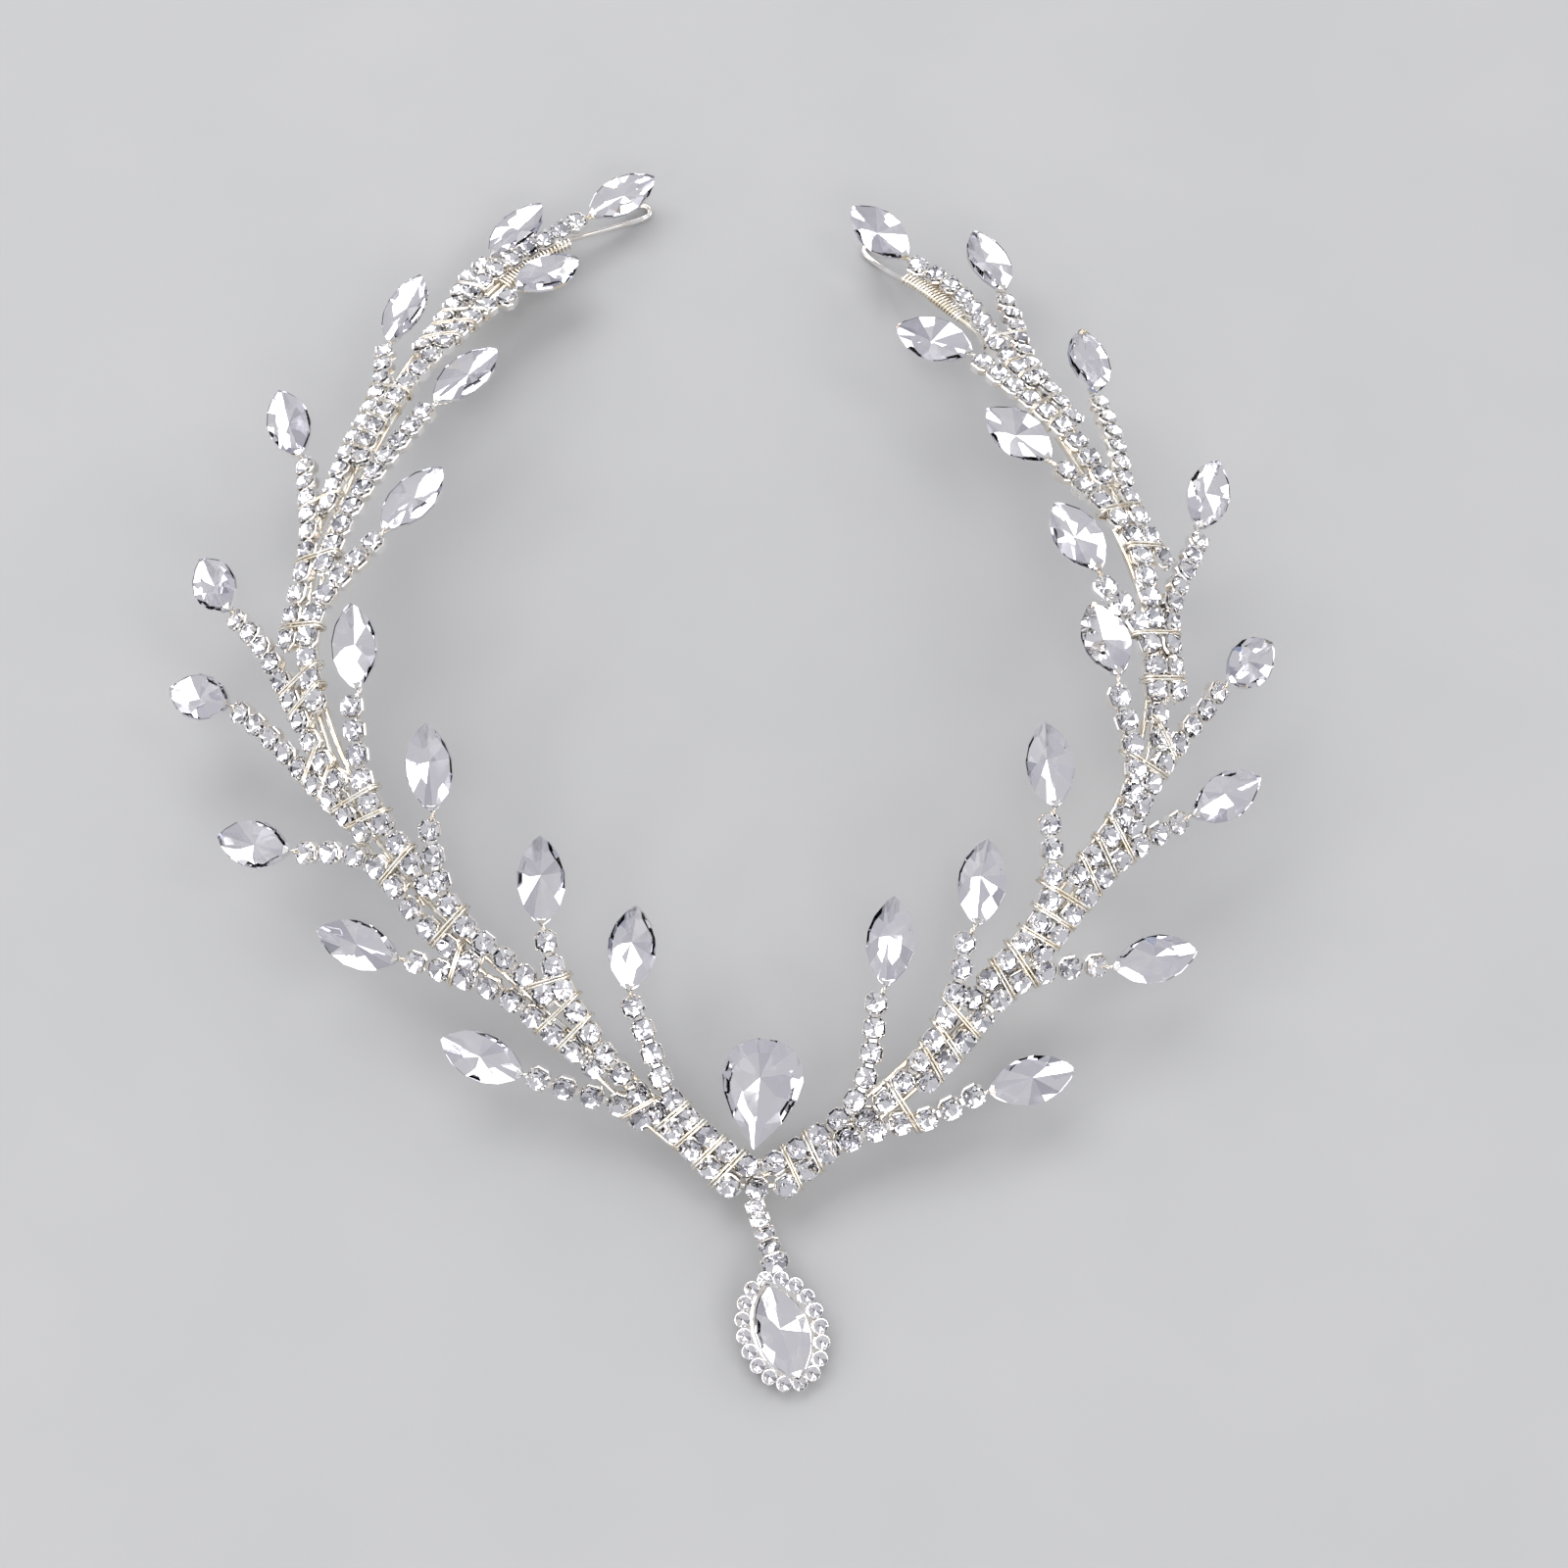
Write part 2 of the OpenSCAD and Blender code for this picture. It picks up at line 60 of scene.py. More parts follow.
LEFT_OUTER = [
    (-41.0, -50.0, 10.0, -30.0, -55.0, -28.2, -55.6, -24.0, -57.0, -17.5, -59.0, -15.0, -60.5, 5, 2),
    (-57.0, -36.5, 13.5, -46.0, -41.0, -44.0, -41.5, -34.5, -45.0, -29.5, -48.0, -21.0, -54.5, 9, 2),
    (-71.0, -23.0, 12.5, -60.5, -27.0, -58.6, -27.5, -49.5, -30.0, -45.0, -35.0, -37.0, -42.0, 9, 2),
    (-78.5, -2.0, 13.5, -69.5, -7.0, -68.0, -8.5, -62.0, -14.5, -57.5, -19.5, -51.0, -26.0, 9, 5),
    (-76.0, 17.0, 15.0, -70.5, 7.0, -69.4, 5.2, -63.5, -3.5, -59.0, -12.5, -54.5, -19.5, 10, 5),
    (-67.0, 43.5, 16.0, -63.0, 32.0, -62.2, 29.8, -60.5, 18.0, -60.5, 11.5, -62.0, 0.5, 10, 3),
    (-48.5, 65.0, 12.0, -52.5, 54.0, -53.2, 52.0, -53.5, 41.5, -55.5, 34.0, -58.0, 21.5, 11, 2),
    (-32.0, 81.0, 7.0, -39.0, 71.5, -40.2, 69.6, -42.5, 66.0, -44.0, 61.0, -47.5, 52.5, 7, 2),
]
RIGHT_INNER = [
    (17.0, -36.0, 24.0, 16.0, -45.5, 14.8, -47.4, 13.5, -55.5, 10.0, -60.5, 2.0, -65.5, 9, 3),
    (28.5, -30.0, 28.0, 27.5, -38.5, 26.0, -40.5, 22.0, -51.5, 13.5, -60.5, 3.5, -68.5, 13, 2),
    (35.5, -17.0, 35.0, 37.5, -25.0, 36.8, -27.0, 37.0, -34.5, 34.0, -39.5, 27.0, -46.5, 9, 3),
    (43.0, 3.0, 29.0, 46.0, -8.5, 46.0, -11.0, 48.0, -18.5, 46.5, -24.5, 40.5, -32.0, 9, 2),
    (38.5, 16.0, 32.0, 44.0, 5.5, 44.6, 3.4, 50.0, -2.5, 51.0, -8.0, 51.5, -15.0, 8, 3),
    (30.0, 32.0, 29.5, 38.5, 23.5, 40.5, 22.0, 47.5, 15.0, 50.0, 9.5, 51.0, 0.5, 9, 2),
    (19.0, 52.0, 18.5, 29.5, 47.0, 30.8, 44.8, 38.0, 35.5, 42.0, 30.0, 45.5, 23.0, 9, 3),
    (13.0, 79.0, 9.5, 21.5, 70.0, 22.8, 68.2, 29.5, 60.5, 32.5, 52.0, 37.5, 42.0, 11, 0),
]
RIGHT_OUTER = [
    (40.5, -53.5, 8.5, 29.0, -57.0, 27.2, -57.6, 21.0, -60.5, 18.0, -61.0, 11.5, -63.0, 6, 3),
    (56.0, -39.0, 12.5, 45.0, -42.0, 43.0, -42.0, 34.0, -44.0, 29.0, -48.0, 21.5, -56.0, 9, 2),
    (65.0, -17.0, 18.0, 55.5, -23.5, 53.8, -24.6, 46.5, -29.5, 42.5, -33.5, 36.0, -41.0, 9, 2),
    (68.0, 2.5, 18.5, 61.0, -6.0, 59.6, -7.6, 56.0, -12.5, 51.0, -19.5, 48.0, -26.0, 8, 3),
    (62.0, 28.5, 22.0, 58.5, 17.0, 58.5, 14.8, 55.0, 6.5, 53.5, 0.5, 54.0, -8.5, 9, 4),
    (45.0, 53.0, 17.0, 46.5, 41.0, 46.8, 39.0, 48.5, 27.5, 49.0, 20.5, 53.0, 10.5, 10, 5),
    (31.0, 74.5, 10.0, 35.0, 63.0, 35.2, 60.8, 36.5, 53.0, 37.5, 46.5, 42.5, 34.5, 10, 3),
]
# Middle line of each arm's band from the V to its end: x, y, half width
LEFT_BAND = [
    (-0.1, -67.0, 2.4), (-3.0, -66.3, 2.4), (-12.0, -61.0, 2.4), (-23.0, -51.5, 2.4),
    (-34.0, -42.5, 2.4), (-45.0, -32.5, 2.4), (-54.0, -20.0, 2.2), (-59.0, -5.5, 1.6),
    (-60.0, 8.0, 2.4), (-57.5, 20.0, 2.6), (-53.0, 36.0, 2.4), (-46.5, 53.5, 2.4),
    (-35.0, 70.0, 1.8), (-28.0, 75.5, 1.4),
]
RIGHT_BAND = [
    (0.1, -67.0, 2.4), (3.0, -66.4, 2.4), (10.5, -62.0, 2.4), (20.5, -54.5, 2.4),
    (30.5, -45.0, 2.4), (40.5, -34.0, 2.4), (48.0, -23.0, 2.2), (51.5, -11.0, 1.8),
    (51.5, 3.5, 2.0), (47.0, 18.5, 2.2), (41.0, 34.0, 2.4), (35.0, 50.5, 2.4),
    (25.0, 63.5, 1.8), (21.0, 67.0, 1.4),
]
# Wire of each hair loop, out to its round end and back under the crystal: x, y, z
LEFT_LOOP = [
    (-29.5, 74.4, 6.6), (-26.3, 77.6, 3.6), (-21.5, 80.6, 1.6), (-17.4, 82.8, 0.5),
    (-16.4, 83.6, 0.5), (-16.5, 84.6, 0.6), (-17.6, 84.9, 0.9), (-20.5, 83.8, 1.5),
]
RIGHT_LOOP = [
    (22.2, 66.0, 9.2), (20.6, 69.0, 5.4), (18.8, 72.4, 2.2), (16.7, 75.4, 0.5),
    (15.8, 76.3, 0.5), (15.4, 77.3, 0.6), (16.2, 78.2, 0.9), (18.2, 76.8, 1.6),
]

# The arched form: its foot and height, its reach to the sides, the line of its top, and its reach
# before and behind that line
DOME_FOOT, DOME_H, DOME_RX, DOME_Y, DOME_FRONT, DOME_BACK = 2, 45, 72, 2, 46, 52

# Crystals
NAVETTE_L, NAVETTE_W = 12.0, 6.0
PEAR_L, PEAR_W = 14.0, 10.0
PAVILION_H = 1.5
PEAR_TIP, PEAR_TOP = Vector((-0.7, -64.6, 9.9)), Vector((1.0, -52.4, 16.5))
PEAR_UP = Vector((0, -0.49, 0.87))
# Inner crystals are turned from the form's outward way to the wearer's front, 0 to 1
FRONT_WAY, LEFT_FACE, RIGHT_FACE = Vector((0, -0.44, 0.9)), 0.5, 0.9
# Crystals lie back by this much on their stems, which keeps their tips inside the CAD model's box
CRYSTAL_BACK = 0.17
# Planes that slope more or less than the main facets, as a factor
STEEPER, HALF_FACET, STAR_FACET = 1.1, 1.12, 0.55
# Faces under this area, in square mm, read any part of the foil's colours, the painted flashes of
# fire too. Larger ones keep to the plain part of painted light and shade: where it starts, how long
# it is, and how the draws are bent to its light end.
FLASH_AREA = 2.2
PLAIN_START, PLAIN_SPAN, PLAIN_BEND = 0.14, 0.8, 0.75

# A cup of the chains: its width and height, how high its middle lies, its cut corner, its wall and
# the depth of its hollow. Its stone: radius, and how high its girdle lies.
CUP_W, CUP_H, CUP_MID, CUP_CORNER, CUP_WALL, CUP_HOLLOW = 3.0, 1.2, -0.4, 0.7, 0.15, 1.05
CHATON_R, CHATON_UP = 1.36, 0.12
# How far the cups of a row lean out from the form's outward way, as a slope, and the most that a
# cup is turned at random, in radians
OUTER_TURN, INNER_TURN, CUP_JOLT = 0.35, -0.15, 0.09
# Chains with this many cups are the outer row where they pass the V, and lean out further there:
# by how much in full, from how far before the middle, and over what length it grows
V_ROW_CUPS, V_ROW_TURN, V_TURN_FROM, V_TURN_OVER = 13, 0.95, 52, 14

# Wires: radii, and the pitch of the stems' twist
CORE_R, STRAND_R, TIE_R, WRAP_R, LOOP_R = 0.42, 0.19, 0.18, 0.2, 0.45
TWIST_PITCH = 1.7
# The cores: places across the band as shares of its half width, depth under the form, and distance
# between their points
CORE_PLACES, CORE_DEPTH, CORE_STEP = (-0.62, 0.0, 0.62), 1.45, 1.4
# How near the cores draw together at the band's last point and at the one before it
END_SHARES = (0.55, 0.8)
# The cores start this far on the other side of the middle, so that the two arms meet
OVER_MIDDLE = 0.5
# Points of the middle core that are wound over at its back end, and the winding: its half width at
# each end, its half height and its pitch
WRAP_POINTS = 11
WRAP_WIDE, WRAP_NARROW, WRAP_HIGH, WRAP_PITCH = 2.1, 1.1, 0.68, 0.62
# The stem under a crystal, as distances along it from its foot with the stem's depth there. Then
# its depth at the joint and under the cups, and how many cups past the first it runs on by, apart
# from the free ones.
STEM_HEAD = ((5, 1.75), (2.2, 1.6), (0.3, 0.6))
STEM_JOINT, STEM_DEPTH, STEM_CUPS_PAST = 0.35, 1.25, 3
# Ties, which are pairs of turns of wire: the shortest and longest span between two gaps, how far it
# may slant, and the share of the fitting ones that are made
TIE_SPANS, TIE_SLANT, TIE_SHARE = (1.8, 4.8), 0.6, 0.82
# Half the distance between the two turns of a pair, and how far each may stray
TIE_APART, TIE_STRAY = 0.2, 0.06
# How high a turn passes over the cups' links, how far that may stray, and how low it passes beneath
TIE_TOP, TIE_TOP_STRAY, TIE_LOW = 0.22, 0.08, -1.75
TIE_STEP, LOOP_STEP = 0.55, 0.6
# The hair loops rest on the floor, so their middle line is no lower than this
LOOP_LOW = 0.5

# Pendant
PENDANT_FOOT = Vector((5.2, -92.8, 0.0))
PENDANT_TURN, PENDANT_LEAN = math.radians(20), math.radians(18)
# The halo as the CAD model has it: its length and width, its cups and the radius of one
HALO_L, HALO_W, HALO_COUNT, HALO_R = 13.6, 9.7, 18, 0.92
HALO_MID = HALO_L / 2 + HALO_R
# A small cup here: its radius and height, its wall, the depth of its hollow, the height of its
# stone, and that stone's size as a share of a chain stone's
SMALL_R, SMALL_H, SMALL_WALL, SMALL_HOLLOW = 0.99, 0.95, 0.11, 0.6
SMALL_STONE_UP, SMALL_STONE = 0.94, 0.7
# Rim of the crystal: its wall, its height over the plate, and its floor. The plate: its thickness,
# a lift that keeps it inside the CAD model's box, and its softened edge.
RIM_WALL, RIM_TOP, RIM_FLOOR = 0.5, 1.5, 0.2
PLATE_T, PLATE_UP, PLATE_EDGE = 0.5, 0.02, 0.1
# Heights of the crystal and of the small cups over the plate, and how much wider the crystal is
SEAT_GAP, CUP_GAP, PENDANT_WIDER = 0.15, 0.12, 1.08
# Ring of small cups: half its length and width, a little inside the CAD model's
RING_L, RING_W = HALO_L / 2 - 0.12, HALO_W / 2 - 0.08
DROP_FROM, DROP_TO = Vector((-0.5, -70.9, 5.4)), Vector((1.75, -77.7, 5.6))
# Small cups of the pendant's chain from the V on: how each leans forward, and its share of a chain
# cup's width. Then their share of its length and height, their pitch and start as shares of the
# drop, and their lift.
LINKS = ((-0.3, 0.86), (-0.3, 0.88), (-0.45, 0.92), (-0.8, 0.98))
LINK_LONG, LINK_HIGH, LINK_PITCH, LINK_START = 0.66, 0.75, 0.265, -0.03
LINK_LIFT = Vector((0, 0, 0.1))
# The cup under the V: its place, the way of its link and the way it faces
V_LINK_AT = Vector((-0.35, -68.7, 6.1))
V_LINK_WAY, V_LINK_UP = Vector((0, -1, -0.25)), Vector((0, -0.75, 1))
# The larger cup that the halo hangs from: shares of a chain cup's size, how far it lies past the
# end of the drop, and the way it faces
BAIL_SIZE, BAIL_PAST, BAIL_UP = (0.8, 1.22, 0.85, 1), 0.55, Vector((0.2, -0.8, 1))
random.seed(11)


# The arched form that the cups and wires follow
def dome_reach(y):
    return DOME_FRONT if y < DOME_Y else DOME_BACK


def dome(x, y):
    rise = DOME_H * math.exp(-((x / DOME_RX) ** 2) - ((y - DOME_Y) / dome_reach(y)) ** 2)
    return Vector((x, y, DOME_FOOT + rise))


def dome_out(x, y):
    """Square to the form and outwards."""
    rise = dome(x, y).z - DOME_FOOT
    slope_y = 2 * (y - DOME_Y) / dome_reach(y) ** 2 * rise
    return Vector((2 * x / DOME_RX**2 * rise, slope_y, 1)).normalized()


def under(p, depth):
    return p - depth * dome_out(p.x, p.y)


def across_of(p):
    """Outwards over the surface, away from the middle of the head opening."""
    return Vector((p.x, p.y, 0)).normalized()


def axes_at(origin, along, up):
    """A matrix in metres with x along and z up, at a point given in mm."""
    z = up.normalized()
    x = (along - along.dot(z) * z).normalized()
    y = z.cross(x)
    o = (origin + SHIFT) * MM
    return Matrix(((x.x, y.x, z.x, o.x), (x.y, y.y, z.y, o.y), (x.z, y.z, z.z, o.z), (0, 0, 0, 1)))


def axes_along(origin, way, up):
    """The same, with x exactly along the way given."""
    return axes_at(origin, way, up - up.dot(way) * way)


# Sprigs
Sprig = namedtuple("Sprig", "tip foot chain cups free")


def read_sprigs(rows):
    """Gives the columns of a table their names."""
    return [
        Sprig(Vector(row[:3]), row[3:5], [Vector(row[k : k + 2]) for k in (5, 7, 9, 11)], *row[13:])
        for row in rows
    ]


def crystal_line(sprig):
    """Foot of the sprig's crystal on the form, and the way that the crystal points."""
    foot = dome(*sprig.foot)
    return foot, (sprig.tip - foot).normalized()


def chain_point(sprig, t):
    """On the curve through the chain's four cups, from 0 to 1."""
    a, b, c, d = sprig.chain
    q = (
        a * ((1 - 3 * t) * (2 - 3 * t) * (1 - t) / 2)
        + b * (9 * t * (2 - 3 * t) * (1 - t) / 2)
        - c * (9 * t * (1 - 3 * t) * (1 - t) / 2)
        + d * (t * (1 - 3 * t) * (2 - 3 * t) / 2)
    )
    return dome(q.x, q.y)


def chain_parts(sprig):
    """Where along the curve each cup sits, from 0 to 1, when the cups are evenly spaced."""
    steps = 64
    walk = [chain_point(sprig, k / steps) for k in range(steps + 1)]
    gone = [0.0]
    for p, q in zip(walk, walk[1:]):
        gone.append(gone[-1] + (q - p).length)
    parts, k = [], 1
    for i in range(sprig.cups):
        goal = gone[-1] * i / (sprig.cups - 1)
        while k < steps and gone[k] < goal:
            k += 1
        parts.append((k - 1 + (goal - gone[k - 1]) / (gone[k] - gone[k - 1])) / steps)
    return parts


def cup_points(sprig):
    return [chain_point(sprig, t) for t in chain_parts(sprig)]


def cup_seat(sprig, t, turn):
    p, q = chain_point(sprig, t), chain_point(sprig, t + 0.02)
    if sprig.cups == V_ROW_CUPS:
        turn += V_ROW_TURN * min(max((-p.y - V_TURN_FROM) / V_TURN_OVER, 0), 1)
    return axes_at(p, q - p, dome_out(p.x, p.y) + turn * across_of(p))


def navette_seat(sprig, face):
    foot, way = crystal_line(sprig)
    up = dome_out(foot.x, foot.y).lerp(FRONT_WAY, face)
    return axes_along(foot + way * NAVETTE_L / 2, way, up)


def pear_seat():
    way = (PEAR_TOP - PEAR_TIP).normalized()
    return axes_along(PEAR_TIP + way * PEAR_L / 2, way, PEAR_UP)


def pendant_seat():
    c = math.cos(PENDANT_LEAN)
    way = Vector((-math.sin(PENDANT_TURN) * c, math.cos(PENDANT_TURN) * c, math.sin(PENDANT_LEAN)))
    return axes_along(PENDANT_FOOT, way, Vector((0, 0, 1)))


def on_pendant(place):
    """A place by the pendant's own axes, in metres from its foot."""
    return pendant_seat() @ Matrix.Translation(place)


# Materials
def material(name, colour, metallic=0.0, roughness=0.3, **sockets):
    m = bpy.data.materials.new(name)
    m.use_nodes = True
    shader = m.node_tree.nodes["Principled BSDF"]
    shader.inputs["Base Color"].default_value = (*colour, 1)
    shader.inputs["Metallic"].default_value = metallic
    shader.inputs["Roughness"].default_value = roughness
    for key, value in sockets.items():
        shader.inputs[key.replace("_", " ")].default_value = value
    return m


def node(m, kind, **values):
    n = m.node_tree.nodes.new(kind)
    for key, value in values.items():
        setattr(n, key, value)
    return n


def drive(m, source, socket):
    """Feeds a socket of the material's shader."""
    m.node_tree.links.new(source, m.node_tree.nodes["Principled BSDF"].inputs[socket])


def noise(m, scale, detail=3.0):
    place = node(m, "ShaderNodeTexCoord")
    n = node(m, "ShaderNodeTexNoise")
    n.inputs["Scale"].default_value = scale
    n.inputs["Detail"].default_value = detail
    m.node_tree.links.new(place.outputs["Object"], n.inputs["Vector"])
    return n.outputs["Fac"]


def tint(m, source, stops):
    """Base colour from a value through a colour ramp."""
    ramp = node(m, "ShaderNodeValToRGB")
    marks = ramp.color_ramp.elements
    for mark, (at, colour) in ((marks[0], stops[0]), (marks[-1], stops[-1])):
        mark.position = at
        mark.color = (*colour, 1)
    for at, colour in stops[1:-1]:
        marks.new(at).color = (*colour, 1)
    m.node_tree.links.new(source, ramp.inputs["Fac"])
    drive(m, ramp.outputs["Color"], "Base Color")


def vary_roughness(m, source, low, high):
    limits = node(m, "ShaderNodeMapRange")
    limits.inputs["To Min"].default_value = low
    limits.inputs["To Max"].default_value = high
    m.node_tree.links.new(source, limits.inputs["Value"])
    drive(m, limits.outputs["Result"], "Roughness")


def dent(m, source, strength, distance):
    bump = node(m, "ShaderNodeBump")
    bump.inputs["Strength"].default_value = strength
    bump.inputs["Distance"].default_value = distance
    m.node_tree.links.new(source, bump.inputs["Height"])
    drive(m, bump.outputs["Normal"], "Normal")


def plated(name, light, shade, smooth, rough):
    """Polished plate with soft patches of shade and fine marks."""
    m = material(name, light, metallic=1.0)
    fine, broad = noise(m, scale=2600.0), noise(m, scale=420.0, detail=2.0)
    tint(m, broad, [(0.35, shade), (0.6, light)])
    vary_roughness(m, fine, smooth, rough)
    dent(m, fine, strength=0.12, distance=0.00004)
    return m


def crystal_glass(name):
    m = material(
        name, (0.98, 0.98, 1.0), roughness=0.0, IOR=1.2, Transmission_Weight=1.0, Specular_IOR_Level=1.0
    )
    tint(m, noise(m, scale=300.0, detail=2.0), [(0.3, (0.97, 0.96, 1.0)), (0.7, (1.0, 1.0, 1.0))])
    vary_roughness(m, noise(m, scale=900.0), 0.0, 0.012)
    return m


def foil_with_painted_facet_light(name, stops):
    """Mirror behind a stone whose facets each take their own colour from the stops, as painted light
    and shade of the facets.
    """
    m = material(name, (0.9, 0.9, 0.92), metallic=1.0, roughness=0.04)
    facet = node(m, "ShaderNodeAttribute", attribute_name="facet")
    tint(m, facet.outputs["Fac"], stops)
    vary_roughness(m, noise(m, scale=900.0), 0.01, 0.06)
    return m


silver = plated("bright_silver_plate", (0.96, 0.95, 0.94), (0.88, 0.83, 0.77), smooth=0.08, rough=0.18)
champagne = plated("champagne_wire", (0.93, 0.9, 0.84), (0.76, 0.68, 0.55), smooth=0.12, rough=0.26)
glass = crystal_glass("clear_crystal")
# Foil colours from dark grey to white are painted light and shade of the facets; the blue first stop
# and the amber last stop are painted flashes of fire.
foil = foil_with_painted_facet_light(
    "crystal_foil_painted_light",
    [
        (0.0, (0.5, 0.58, 0.8)),
        (0.06, (0.52, 0.53, 0.57)),
        (0.2, (0.66, 0.65, 0.7)),
        (0.42, (0.84, 0.83, 0.87)),
        (0.62, (0.96, 0.95, 0.98)),
        (0.96, (1.0, 1.0, 1.0)),
        (1.0, (0.96, 0.78, 0.5)),
    ],
)
# Greys to white here are painted light and shade of the small stones' facets.
chaton_foil = foil_with_painted_facet_light(
    "chaton_foil_painted_light",
    [
        (0.0, (0.45, 0.45, 0.48)),
        (0.25, (0.82, 0.82, 0.85)),
        (0.5, (0.98, 0.98, 1.0)),
        (1.0, (1.0, 1.0, 1.0)),
    ],
)


# Modelling by hand
def deselect():
    bpy.ops.object.select_all(action="DESELECT")


def pick(piece):
    """Selects one piece alone and makes it the active one."""
    deselect()
    piece.select_set(True)
    bpy.context.view_layer.objects.active = piece


def take(name):
    piece = bpy.context.active_object
    piece.name = piece.data.name = name
    return piece


def enter():
    bpy.ops.object.mode_set(mode="EDIT")


def leave():
    bpy.ops.object.mode_set(mode="OBJECT")


def edit(piece):
    pick(piece)
    enter()


def clear_marks(piece):
    for part in (piece.data.vertices, piece.data.edges, piece.data.polygons):
        for item in part:
            item.select = False


def select_facing(piece, way):
    """In edit mode: selects the faces that look one way."""
    leave()
    clear_marks(piece)
    for face in piece.data.polygons:
        face.select = face.normal.dot(Vector(way)) > 0.5
    enter()


def select_edges(piece, test):
    """In edit mode: selects the edges whose two ends pass the test."""
    leave()
    clear_marks(piece)
    verts = piece.data.vertices
    for edge in piece.data.edges:
        edge.select = test(verts[edge.vertices[0]].co, verts[edge.vertices[1]].co)
    enter()


def move(x, y, z):
    bpy.ops.transform.translate(value=(x * MM, y * MM, z * MM))


def resize(x, y, z):
    bpy.ops.transform.resize(value=(x, y, z))


def sink(inset, depth):
    """In edit mode: hollows the selected face, leaving a wall round it."""
    bpy.ops.mesh.inset(thickness=inset * MM)
    bpy.ops.mesh.extrude_region_move(TRANSFORM_OT_translate={"value": (0, 0, -depth * MM)})


def block(name, size, shares, at):
    """A box left in edit mode, its sides shares of one size."""
    bpy.ops.mesh.primitive_cube_add(size=size * MM)
    piece = take(name)
    edit(piece)
    resize(*shares)
    move(*at)
    return piece


def drum(name, vertices, radius, height, foot=0.0):
    """An upright cylinder left in edit mode, its lower end at the height of its foot."""
    bpy.ops.mesh.primitive_cylinder_add(vertices=vertices, radius=radius * MM, depth=height * MM)
    piece = take(name)
    edit(piece)
    move(0, 0, height / 2 + foot)
    return piece


def apply_place(piece):
    pick(piece)
    bpy.ops.object.transform_apply(location=True, rotation=True, scale=True)


def join(parts, name):
    deselect()
    for part in parts:
        part.select_set(True)
    bpy.context.view_layer.objects.active = parts[0]
    if len(parts) > 1:
        bpy.ops.object.join()
    return take(name)


def lay_copy(master, place):
    copy = master.copy()
    copy.data = master.data.copy()
    copy.data.transform(place)
    bpy.context.collection.objects.link(copy)
    return copy


def shuffle_facets(stone):
    """Gives each face its own value, which the foil reads as painted light and shade; only small ones
    may get a painted flash of colour.
    """
    values = stone.data.attributes.get("facet") or stone.data.attributes.new("facet", "FLOAT", "FACE")
    drawn = []
    for face in stone.data.polygons:
        value = random.random()
        if face.area >= FLASH_AREA * MM**2:
            value = PLAIN_START + PLAIN_SPAN * value**PLAIN_BEND
        drawn.append(value)
    values.data.foreach_set("value", drawn)


def finish_piece(piece, stands_for):
    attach(piece, "root")
    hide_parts(stands_for)


# Crystals, cut from a block by one plane for each facet
def vesica(length, width, count=160):
    r = (length**2 + width**2) / (4 * width)
    points = []
    for i in range(count):
        u = length / 2 * math.cos(2 * math.pi * i / count)
        v = math.sqrt(max(r * r - u * u, 0)) - (r - width / 2)
        points.append(Vector((u, v if i < count / 2 else -v)))
    return points


def teardrop(length, width, count=160):
    points = []
    for i in range(count):
        a = 2 * math.pi * i / count
        # The two sines reach 0.77 together at most, which 0.65 brings to half the width
        v = -0.65 * width * math.sin(a) * math.sin(a / 2)
        points.append(Vector((-length / 2 * math.cos(a), v)))
    return points


def disc(radius, count=64):
    angles = [a * 2 * math.pi / count for a in range(count)]
    return [radius * Vector((math.cos(a), math.sin(a))) for a in angles]


def outward(angle):
    return Vector((math.cos(angle), math.sin(angle), 0))


def support(outline, angle):
    """How far the outline reaches in one direction."""
    way = Vector((math.cos(angle), math.sin(angle)))
    return max(p.dot(way) for p in outline)


def radians(*degrees):
    return [math.radians(a) for a in degrees]


def cut(co, no):
    bpy.ops.mesh.select_all(action="SELECT")
    bpy.ops.mesh.bisect(plane_co=co, plane_no=no, use_fill=True, clear_outer=True)


def cut_slope(at, across, rise):
    cut(at * MM, (across + Vector((0, 0, rise))).normalized())


def cut_stone(
    name, outline, angles, below, *, crown, pavilion, table, girdle, culet=(0, 0), small=False
):
    """A faceted stone: girdle planes, crown mains with half facets between them, and a pavilion
    whose main facets lie at the angles in below, with steeper ones at the others. Crown, pavilion
    and girdle are heights, and the table is a share of the width. A small stone has no half
    facets."""
    span = 2.4 * max(p.length for p in outline)
    bpy.ops.mesh.primitive_cube_add(size=span * MM)
    stone = take(name)
    edit(stone)
    cut((0, 0, crown * MM), (0, 0, 1))
    crown_h = crown - girdle
    for a in angles:
        n = outward(a)
        d = support(outline, a)
        cut(n * d * MM, n)
        edge = Vector((n.x * d, n.y * d, girdle))
        cut_slope(edge, n * crown_h, d * (1 - table))
        steep = 1.0 if a in below else STEEPER
        reach = d - n.x * culet[0] - n.y * culet[1]
        cut_slope(edge * Vector((1, 1, -1)), n * steep * (pavilion - girdle), -reach)
    for a, b in zip(angles, angles[1:] + [angles[0] + 2 * math.pi]):
        n = outward((a + b) / 2)
        d = support(outline, (a + b) / 2)
        if not small:
            edge = Vector((n.x * d, n.y * d, girdle))
            cut_slope(edge, n * HALF_FACET * crown_h, d * (1 - table))
        star = Vector((n.x * d * table, n.y * d * table, crown))
        cut_slope(star, n * STAR_FACET * crown_h, d * (1 - table))
    leave()
    stone.data.materials.append(glass)
    stone.data.materials.append(chaton_foil if small else foil)
    for face in stone.data.polygons:
        face.material_index = 1 if face.center.z < girdle * MM * 0.5 else 0
    shuffle_facets(stone)
    return stone


def both_sides(*degrees):
    return radians(*degrees, *(180 + a for a in degrees))


